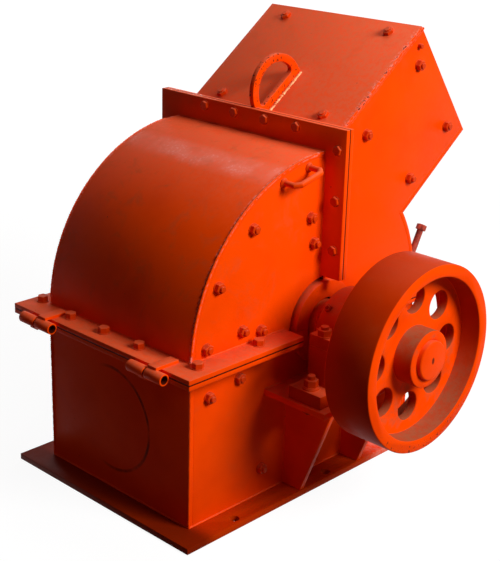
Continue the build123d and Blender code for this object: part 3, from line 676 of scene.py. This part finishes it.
class OBJECT_OT_crusher_materials(bpy.types.Operator):
    """Make the enamels and the bare steels."""

    bl_idname = "object.crusher_materials"
    bl_label = "Materials"

    def execute(self, context):
        # Brushed alkyd enamel on rolled plate: faint brush waves, faded on top, with a painted sky sheen
        # there
        enamel_material("enamel_on_plate", 2.5 * MM, 0.12 * MM, 0.2)
        # The cover's rolled plate fades only along its crown, with a painted sky sheen, and is scuffed there
        # under a painted highlight
        enamel_material("enamel_on_rolled_cover", 2.5 * MM, 0.12 * MM, 0.3, chalk_sheen_from=0.62, wear=cover_wear)
        # Chute plates, nicked along their welded edges, the pale nicks also a painted edge highlight
        enamel_material("enamel_on_chute", 2.5 * MM, 0.15 * MM, 0.14, wear=chute_wear_and_edge_glints)
        # Flange bars, with the dark line of the joint between them
        enamel_material("enamel_on_flanges", 2.5 * MM, 0.12 * MM, 0.2, wear=seam_wear)
        # Base flange, shaded by the casing and little faded; its front and left carry painted shade, its rear
        # a painted pool of light
        enamel_material("enamel_on_base", 2.5 * MM, 0.12 * MM, 0.1, chalk_sheen_from=0.95, wear=base_painted_light, gloss=0.05)
        # Lower front wall, in the shade of the flange
        enamel_material("enamel_on_front", 2.5 * MM, 0.12 * MM, 0.05, wear=front_wear, gloss=0.04)
        # The same enamel over a sand casting: a grain of about 3 mm shows through, with foundry dirt
        enamel_material("enamel_on_sand_casting", 3.2 * MM, 0.5 * MM, 0.3, chips=0.015)
        # Bearing blocks, dark with the oil that has run out of them, and with painted shade of the flywheel's
        # shadow
        enamel_material("oiled_and_shaded_enamel_on_casting", 3.2 * MM, 0.5 * MM, 0.2, chips=0.01, oil_and_shade=0.55)
        # The flywheel's casting, smoother outside, with the dirt kept in its recess, and painted shade over
        # its rim and recess walls
        enamel_material(
            "enamel_on_wheel_casting",
            3.2 * MM,
            0.35 * MM,
            0.12,
            chalk_sheen_from=0.75,
            wear=rim_wear,
            hollow=158 * MM,
            gloss=0.03,
        )
        # The leaning screw, rusted through its thin coat
        steel_material("rusted_screw", "#B03A1E", "#6E1E10", 0.6, 0.0)
        # Turned shaft, brushed over outside and stained inside, with a painted dark centre in each end
        enamel_material("enamel_on_shaft", 1.5 * MM, 0.05 * MM, 0.1, chalk_sheen_from=0.6, wear=shaft_stain_and_centre_shade)
        # Enamel over weld metal, a little rubbed
        enamel_material("enamel_on_weld", 2.0 * MM, 0.2 * MM, 0.2, chips=0.03)
        # Nuts and bolt heads, brushed over thickly and glossier, with an oil film that paints shade on their
        # sides
        enamel_material("enamel_on_nuts", 2.0 * MM, 0.1 * MM, 0.15, chips=0.02, oil_and_shade=0.4, gloss=0.25)
        # The lifting lug, rubbed by hooks and slings
        enamel_material("enamel_on_lug", 2.5 * MM, 0.15 * MM, 0.6, chalk_sheen_from=0.1, chips=0.14)
        # Hinge knuckles and pins, with grease in the bores
        enamel_material("enamel_on_hinge", 2.5 * MM, 0.12 * MM, 0.3, wear=hinge_wear)
        # A fillet rubbed clear of its enamel: pale primer and bright metal, also a painted highlight along it
        pale_weld_and_highlight_material("rubbed_weld_and_highlight")
        # Hot-rolled steel with mill scale, worn bright and rusted in the chamber
        steel_material("rusty_rolled_steel", "#3B3633", "#4A2415", 0.5, 0.7)
        return {"FINISHED"}


class OBJECT_OT_crusher_finish(bpy.types.Operator):
    """Give every solid its finish and round the edges that show."""

    bl_idname = "object.crusher_finish"
    bl_label = "Finish the solids"

    def execute(self, context):
        edge = context.scene.crusher_fittings.edge
        castings = {
            "flywheel": 2.2 * MM,
            "left_bearing_base": 1.6 * MM,
            "right_bearing_base": 1.6 * MM,
            "left_bearing_cap": 1.6 * MM,
            "right_bearing_cap": 1.6 * MM,
            "seal_lower_halves": 0.8 * MM,
            "seal_upper_halves": 0.8 * MM,
        }
        steels = {
            "grate_rails": 0.8 * MM,
            "grate_bars": 0.8 * MM,
            "lower_wear_plates": 0.6 * MM,
            "cover_wear_plates": 0.6 * MM,
            "rear_wear_plates": 0.6 * MM,
            "cover_breaker": 0.8 * MM,
            "rear_breaker": 0.8 * MM,
            "rotor_discs": 1.0 * MM,
            "hammer_pins": 0.6 * MM,
            "hammers": 2.5 * MM,
        }
        plates = {
            "cover_curved_plate": "enamel_on_rolled_cover",
            "left_cover_side": "enamel_on_rolled_cover",
            "right_cover_side": "enamel_on_rolled_cover",
            "chute_top_plate": "enamel_on_chute",
            "left_chute_side": "enamel_on_chute",
            "right_chute_side": "enamel_on_chute",
            "lower_front_wall": "enamel_on_front",
            "base_flange": "enamel_on_base",
            "cover_standing_flange": "enamel_on_flanges",
            "rear_standing_flange": "enamel_on_flanges",
            "cover_joint_flange": "enamel_on_flanges",
            "rear_joint_flange": "enamel_on_flanges",
            "lower_joint_flange": "enamel_on_flanges",
            "lifting_lug": "enamel_on_lug",
            "hinge_lower_leaves": "enamel_on_hinge",
            "hinge_upper_leaves": "enamel_on_hinge",
        }
        for name in NODES:
            if name in castings:
                width, finish, slot = castings[name], "enamel_on_sand_casting", "painted_casting"
            elif name in steels:
                width, finish, slot = steels[name], "rusty_rolled_steel", "bare_steel"
            elif name == "shaft":
                width, finish, slot = 0.5 * MM, "enamel_on_shaft", "bare_steel"
            elif name == "hinge_pins":
                width, finish, slot = 0.5 * MM, "enamel_on_hinge", "bare_steel"
            else:
                width, finish, slot = edge, plates.get(name, "enamel_on_plate"), "red_enamel"
            if name == "flywheel":
                finish = "enamel_on_wheel_casting"
            if "bearing" in name:
                finish = "oiled_and_shaded_enamel_on_casting"
            piece = rounded_copy(name, width)
            piece.data.materials.append(bpy.data.materials[finish])
        return {"FINISHED"}


class OBJECT_OT_crusher_flange_bolts(bpy.types.Operator):
    """Bolt the standing flanges and the split flanges together."""

    bl_idname = "object.crusher_flange_bolts"
    bl_label = "Flange bolts"

    def execute(self, context):
        width = context.scene.crusher_fittings.nut_width
        wander = random.Random(4)
        heads, nuts = bmesh.new(), bmesh.new()
        # The standing flanges: a row along the top, two down each side, and a third on the right
        top_row, top_pitch, top_shift = STANDING_TOP_Z - 15 * MM, 82 * MM, 3 * MM
        side_x = FLANGE_X - 19 * MM
        spots = [(x * top_pitch + top_shift, top_row) for x in (-1.5, -0.5, 0.5, 1.5)]
        spots += [(side * side_x, z * MM) for side in (-1, 1) for z in (584, 487)]
        spots.append((side_x, 681 * MM))
        for x, z in spots:
            add_bolt_head(heads, (x, COVER_FLANGE_Y, z), (0, -1, 0), wander.uniform(0, 1), 17 * MM, 5 * MM)
            add_plain_nut(nuts, (x, REAR_FLANGE_Y, z), (0, 1, 0), wander.uniform(0, 1), 4 * MM)
        # The cover's joint flange: a row along the front and two on each side
        front_row, side_row = FLANGE_FRONT_Y + 32 * MM, 221 * MM
        spots = [(x * MM, front_row) for x in (-113, -15, 84)]
        spots += [(side * side_row, y * MM) for side in (-1, 1) for y in (-352, -197)]
        for x, y in spots:
            add_bolt_head(heads, (x, y, JOINT_TOP_Z), UP, wander.uniform(0, 1), width, 11 * MM)
            add_plain_nut(nuts, (x, y, JOINT_LOW_Z), -UP, wander.uniform(0, 1), 4 * MM)
        finish_mesh(heads, "cover_flange_bolt_heads", "cover", "enamel_on_nuts")
        # The rear joint flange, which stays bolted
        rear_row, side_row = REAR_Y + 22 * MM, 225 * MM
        spots = [(x * MM, rear_row) for x in (-150, -50, 50, 150)]
        spots += [(side * side_row, y * MM) for side in (-1, 1) for y in (200, 300)]
        for x, y in spots:
            add_bolt_head(nuts, (x, y, JOINT_TOP_Z), UP, wander.uniform(0, 1), width, 9 * MM)
            add_plain_nut(nuts, (x, y, JOINT_LOW_Z), -UP, wander.uniform(0, 1), 4 * MM)
        finish_mesh(nuts, "frame_flange_nuts", "frame", "enamel_on_nuts")
        return {"FINISHED"}


class OBJECT_OT_crusher_wall_nuts(bpy.types.Operator):
    """Add the nuts that hold the wear plates to the walls."""

    bl_idname = "object.crusher_wall_nuts"
    bl_label = "Wear plate nuts"

    def execute(self, context):
        wander = random.Random(9)
        # Places on the walls as Y and Z in millimetres
        on_cover = ((-199, 562), (-43, 552), (-32, 500), (-221, 372), (-172, 360), (-312, 362), (-285, 472))
        on_lower = ((-304, 265), (-226, 280), (-160, 68), (226, 280), (160, 68))
        on_chute = ((263, 804), (373, 666), (109, 687), (257, 575))
        cover, lower = bmesh.new(), bmesh.new()
        for bm, spots in ((cover, on_cover), (lower, on_lower + on_chute)):
            for side in (-1, 1):
                for y, z in spots:
                    spot, out = (side * WALL_X, y * MM, z * MM), (side, 0, 0)
                    add_plain_nut(bm, spot, out, wander.uniform(0, 1), wander.uniform(3, 6) * MM)
        # A pin near the chute's upper corner
        for side in (-1, 1):
            pin = standing((side * WALL_X, 260 * MM, 842 * MM), (side, 0, 0))
            add_prism(lower, pin, 14, 5 * MM, 9 * MM, MM)
        for x in (-137 * MM, 137 * MM):
            for down in (34 * MM, 268 * MM):
                spot = CHUTE_TOP - ALONG_CHUTE * down + Vector((x, 0, 0))
                add_plain_nut(lower, spot, OFF_CHUTE, wander.uniform(0, 1), 3 * MM)
        # Weld collars round the feet of the handle
        for turn in (math.radians(110.5), math.radians(98)):
            spot = Vector((WALL_X, COVER_CENTRE_Y, SPLIT_Z))
            spot += Vector((0, math.cos(turn), math.sin(turn))) * (COVER_RADIUS - 20 * MM)
            add_prism(cover, standing(spot, (1, 0, 0)), 14, 9.5 * MM, 5 * MM, 3 * MM)
        finish_mesh(cover, "cover_wear_plate_nuts", "cover", "enamel_on_nuts")
        finish_mesh(lower, "frame_wear_plate_nuts", "frame", "enamel_on_nuts")
        return {"FINISHED"}


class OBJECT_OT_crusher_bearing_fittings(bpy.types.Operator):
    """Bolt the bearing caps and feet down and add the grease plugs."""

    bl_idname = "object.crusher_bearing_fittings"
    bl_label = "Bearing fittings"

    def execute(self, context):
        wander = random.Random(12)
        bm = bmesh.new()
        # M16 across the flats and the radius of its stud
        width, stud = 24 * MM, 8 * MM
        boss_top, ear_top = BRACKET_TOP_Z + 30 * MM, SPLIT_Z + 23 * MM
        plate_under = BRACKET_TOP_Z - 12 * MM
        for side, cap in ((-1, "left_bearing_cap"), (1, "right_bearing_cap")):
            low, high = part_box(cap)
            middle = (low.x + high.x) / 2
            for y in (-130 * MM, 130 * MM):
                add_nut(bm, (middle, y, boss_top), UP, wander.uniform(0, 1), width, 14 * MM, stud, 8 * MM)
                add_bolt_head(bm, (middle, y, plate_under), -UP, wander.uniform(0, 1), width, 10 * MM)
            for y in (-98 * MM, 98 * MM):
                add_nut(bm, (middle, y, ear_top), UP, wander.uniform(0, 1), width, 12 * MM, stud, 6 * MM)
            # A grease plug on the barrel
            turn = math.radians(135)
            out = Vector((0, math.cos(turn), math.sin(turn)))
            spot = Vector((middle - side * 26 * MM, 0, SPLIT_Z)) + out * 83 * MM
            add_prism(bm, standing(spot, out), 6, 8 * MM, 7 * MM, MM)
            add_prism(bm, standing(spot, out), 12, 4 * MM, 6 * MM, MM, 7 * MM)
        finish_mesh(bm, "bearing_nuts", "frame", "oiled_and_shaded_enamel_on_casting")
        return {"FINISHED"}


class OBJECT_OT_crusher_swing_bolt(bpy.types.Operator):
    """Lean the long hexagon screw against the rear wall."""

    bl_idname = "object.crusher_swing_bolt"
    bl_label = "Leaning screw"

    def execute(self, context):
        foot = Vector((165 * MM, 309 * MM, SPLIT_Z + 2 * MM))
        head = Vector((165 * MM, 361 * MM, 434 * MM))
        out = (head - foot).normalized()
        bm = bmesh.new()
        add_prism(bm, standing(foot, out), 16, 7 * MM, (head - foot).length)
        add_prism(bm, standing(head, out), 6, 19 * MM / math.sqrt(3), 12 * MM, MM)
        finish_mesh(bm, "leaning_screw", "frame", "rusted_screw")
        return {"FINISHED"}


class OBJECT_OT_crusher_welds(bpy.types.Operator):
    """Lay the weld beads along the seams."""

    bl_idname = "object.crusher_welds"
    bl_label = "Weld beads"

    def execute(self, context):
        bead = context.scene.crusher_fittings.bead
        start = CHUTE_TOP - ALONG_CHUTE * ((CHUTE_TOP.y - REAR_FLANGE_Y) / math.cos(CHUTE_ANGLE))
        frame_paths, cover_paths = [], []
        for side in (-1, 1):
            x = side * WALL_X
            shift = Vector((x, 0, 0))
            sunk = shift - OFF_CHUTE * 3 * MM
            frame_paths.append([start + sunk, CHUTE_TOP + sunk - ALONG_CHUTE * 2 * MM])
            frame_paths.append([(x, y, BASE_TOP_Z) for y in (FRONT_Y, REAR_Y)])
            frame_paths.append([(x, FRONT_Y, BASE_TOP_Z), (x, FRONT_Y, JOINT_LOW_Z)])
            frame_paths.append([(x, REAR_Y, BASE_TOP_Z), (x, REAR_Y, JOINT_LOW_Z)])
            frame_paths.append([(x, FRONT_Y, JOINT_LOW_Z), (x, -105 * MM, JOINT_LOW_Z)])
            frame_paths.append([(x, 105 * MM, JOINT_LOW_Z), (x, REAR_Y, JOINT_LOW_Z)])
            frame_paths.append([(x, -155 * MM, BRACKET_TOP_Z), (x, 155 * MM, BRACKET_TOP_Z)])
            frame_paths.append([(x, REAR_FLANGE_Y, 430 * MM), (x, REAR_FLANGE_Y, start.z)])
            for y in (-94 * MM, -82 * MM, 82 * MM, 94 * MM):
                frame_paths.append([(x, y, BASE_TOP_Z), (x, y, BRACKET_TOP_Z - 12 * MM)])
            cover_paths.append([(x, COVER_FLANGE_Y, 430 * MM), (x, COVER_FLANGE_Y, SPLIT_Z + COVER_RADIUS)])
            cover_paths.append([(x, -105 * MM, JOINT_TOP_Z), (x, FRONT_Y, JOINT_TOP_Z)])
            cover_paths.append(arc_points(COVER_CENTRE_Y, COVER_RADIUS - MM, 96, 176, x, 40))
        frame_paths.append([(-WALL_X, FRONT_Y, BASE_TOP_Z), (WALL_X, FRONT_Y, BASE_TOP_Z)])
        frame_paths.append([(-WALL_X, REAR_Y, BASE_TOP_Z), (WALL_X, REAR_Y, BASE_TOP_Z)])
        frame_paths.append([(-WALL_X, FRONT_Y, JOINT_LOW_Z), (WALL_X, FRONT_Y, JOINT_LOW_Z)])
        frame_paths.append([(-WALL_X, start.y, start.z), (WALL_X, start.y, start.z)])
        cover_paths.append([(-WALL_X, FRONT_Y, JOINT_TOP_Z), (WALL_X, FRONT_Y, JOINT_TOP_Z)])
        top = SPLIT_Z + COVER_RADIUS
        cover_paths.append([(-WALL_X, COVER_FLANGE_Y, top), (WALL_X, COVER_FLANGE_Y, top)])
        bead_piece("frame_weld_beads", frame_paths, bead * 0.75, "frame", "enamel_on_weld", 3)
        bead_piece("cover_weld_beads", cover_paths, bead * 0.6, "cover", "enamel_on_weld", 5)
        # Pale beads along the lug's foot: rubbed weld and a painted highlight
        lug = []
        for side in (-1, 1):
            foot = start + ALONG_CHUTE * 13 * MM + Vector((side * 10 * MM, 0, 0))
            lug.append([foot, foot + ALONG_CHUTE * 140 * MM])
        bead_piece("lug_weld_beads", lug, bead * 1.75, "frame", "rubbed_weld_and_highlight", 7)
        return {"FINISHED"}


class OBJECT_OT_crusher_stage(bpy.types.Operator):
    """Set the floor, the lights and the camera."""

    bl_idname = "object.crusher_stage"
    bl_label = "Stage"

    def execute(self, context):
        scene = context.scene
        light = scene.crusher_light
        bm = bmesh.new()
        bmesh.ops.create_grid(bm, x_segments=1, y_segments=1, size=12)
        mesh = bpy.data.meshes.new("studio_floor")
        bm.to_mesh(mesh)
        bm.free()
        floor = bpy.data.objects.new("studio_floor", mesh)
        scene.collection.objects.link(floor)
        floor.data.materials.append(self.floor_material())
        self.sky(scene, light)
        self.soft_box("key_light", (3.0, 0.45, 2.33), (0.15, 0.0, 0.42), 1.4, light.key_power)
        self.soft_box("top_light", (-0.2, 0.8, 2.5), (0.0, 0.0, 0.5), 1.4, light.top_power)
        # The sides away from the key light, which the product view doesn't show
        self.soft_box("rear_light", (-2.3, 2.6, 0.58), (-0.1, 0.1, 0.45), 1.1, light.rear_power)
        self.camera(scene, scene.crusher_view)
        scene.view_settings.view_transform = "Standard"
        return {"FINISHED"}

    def seen(self, tree):
        """1 for rays that the viewer sees straight, in gloss or through glass."""
        path = node(tree, "LightPath").outputs
        shown = node(tree, "Math", (path["Is Camera Ray"], path["Is Glossy Ray"]), MAXIMUM)
        return node(tree, "Math", (shown, path["Is Transmission Ray"]), MAXIMUM)

    def floor_material(self):
        """White paper floor that keeps a soft shadow, and bounces little light."""
        material, tree = new_material("studio_paper")
        shown = self.seen(tree)
        shade = node(tree, "Mix", (shown, linear("#664A40"), linear("#FFFFFF")), COLOUR)
        plain = node(tree, "BsdfDiffuse", {"Color": shade})
        white = node(tree, "Emission", {"Color": linear("#FFFFFF"), "Strength": 1.04})
        # The paper turns to plain white away from the machine
        away = axis_gap(tree, node(tree, "TexCoord").outputs["Object"], (0, 0, 0), (1, 1, 0))
        share = node(tree, "MapRange", (away, 1.2, 4.0, 0.9, 1.0), SMOOTH)
        share = node(tree, "Math", (shown, share), MULTIPLY)
        node(tree, "OutputMaterial", {"Surface": node(tree, "MixShader", (share, plain, white))})
        return material

    def sky(self, scene, light):
        """White where it is seen, and a weak warm light for all other rays."""
        world = bpy.data.worlds.new("studio_sky")
        world.use_nodes = True
        tree = world.node_tree
        tree.nodes.clear()
        shown = self.seen(tree)
        level = node(tree, "MapRange", (shown, 0.0, 1.0, light.sky, 1.0), SMOOTH)
        tint = node(tree, "Mix", (shown, linear(light.sky_tint), linear("#FFFFFF")), COLOUR)
        background = node(tree, "Background", {"Color": tint, "Strength": level})
        node(tree, "OutputWorld", {"Surface": background})
        scene.world = world

    def camera(self, scene, view):
        """The camera at the angle of the product view."""
        back = Vector(
            (
                math.sin(view.azimuth) * math.cos(view.elevation),
                -math.cos(view.azimuth) * math.cos(view.elevation),
                math.sin(view.elevation),
            )
        )
        right = Vector((math.cos(view.azimuth), math.sin(view.azimuth), 0))
        turned = right * math.cos(view.roll) + back.cross(right) * math.sin(view.roll)
        up = back.cross(turned)
        data = bpy.data.cameras.new("product_camera")
        data.sensor_width = 36
        data.lens = view.focal
        data.clip_end = 100
        camera = bpy.data.objects.new("product_camera", data)
        scene.collection.objects.link(camera)
        place = Vector(view.aim) + back * view.distance
        camera.matrix_world = Matrix.Translation(place) @ Matrix((turned, up, back)).transposed().to_4x4()
        scene.camera = camera

    def soft_box(self, name, place, target, size, power):
        """A round soft light that faces a target."""
        data = bpy.data.lights.new(name, "AREA")
        data.shape = "DISK"
        data.size = size
        data.energy = power
        lamp = bpy.data.objects.new(name, data)
        lamp.location = place
        lamp.rotation_euler = (Vector(place) - Vector(target)).to_track_quat("Z", "Y").to_euler()
        bpy.context.scene.collection.objects.link(lamp)


class VIEW3D_PT_crusher(bpy.types.Panel):
    """The steps that finish the crusher, in order."""

    bl_label = "Hammer Crusher"
    bl_idname = "VIEW3D_PT_crusher"
    bl_space_type = "VIEW_3D"
    bl_region_type = "UI"
    bl_category = "Crusher"

    def draw(self, context):
        """Lists the values and the steps."""
        scene = context.scene
        for group in (scene.crusher_view, scene.crusher_light, scene.crusher_paint, scene.crusher_fittings):
            box = self.layout.box()
            for name in group.__annotations__:
                box.prop(group, name)
        for step in STEPS:
            self.layout.operator(step.bl_idname)


GROUPS = {
    "crusher_view": CrusherView,
    "crusher_light": CrusherLight,
    "crusher_paint": CrusherPaint,
    "crusher_fittings": CrusherFittings,
}
STEPS = (
    OBJECT_OT_crusher_materials,
    OBJECT_OT_crusher_finish,
    OBJECT_OT_crusher_flange_bolts,
    OBJECT_OT_crusher_wall_nuts,
    OBJECT_OT_crusher_bearing_fittings,
    OBJECT_OT_crusher_swing_bolt,
    OBJECT_OT_crusher_welds,
    OBJECT_OT_crusher_stage,
)


def register():
    """Adds the classes and the groups of values."""
    for kind in (*GROUPS.values(), *STEPS, VIEW3D_PT_crusher):
        bpy.utils.register_class(kind)
    for name, kind in GROUPS.items():
        setattr(bpy.types.Scene, name, bpy.props.PointerProperty(type=kind))


def unregister():
    """Takes them away again."""
    for name in GROUPS:
        delattr(bpy.types.Scene, name)
    for kind in reversed((*GROUPS.values(), *STEPS, VIEW3D_PT_crusher)):
        bpy.utils.unregister_class(kind)


def main():
    """Makes the pieces in order."""
    register()
    bpy.ops.object.crusher_materials()
    bpy.ops.object.crusher_finish()
    bpy.ops.object.crusher_flange_bolts()
    bpy.ops.object.crusher_wall_nuts()
    bpy.ops.object.crusher_bearing_fittings()
    bpy.ops.object.crusher_swing_bolt()
    bpy.ops.object.crusher_welds()
    bpy.ops.object.crusher_stage()


if __name__ == "__main__":
    main()
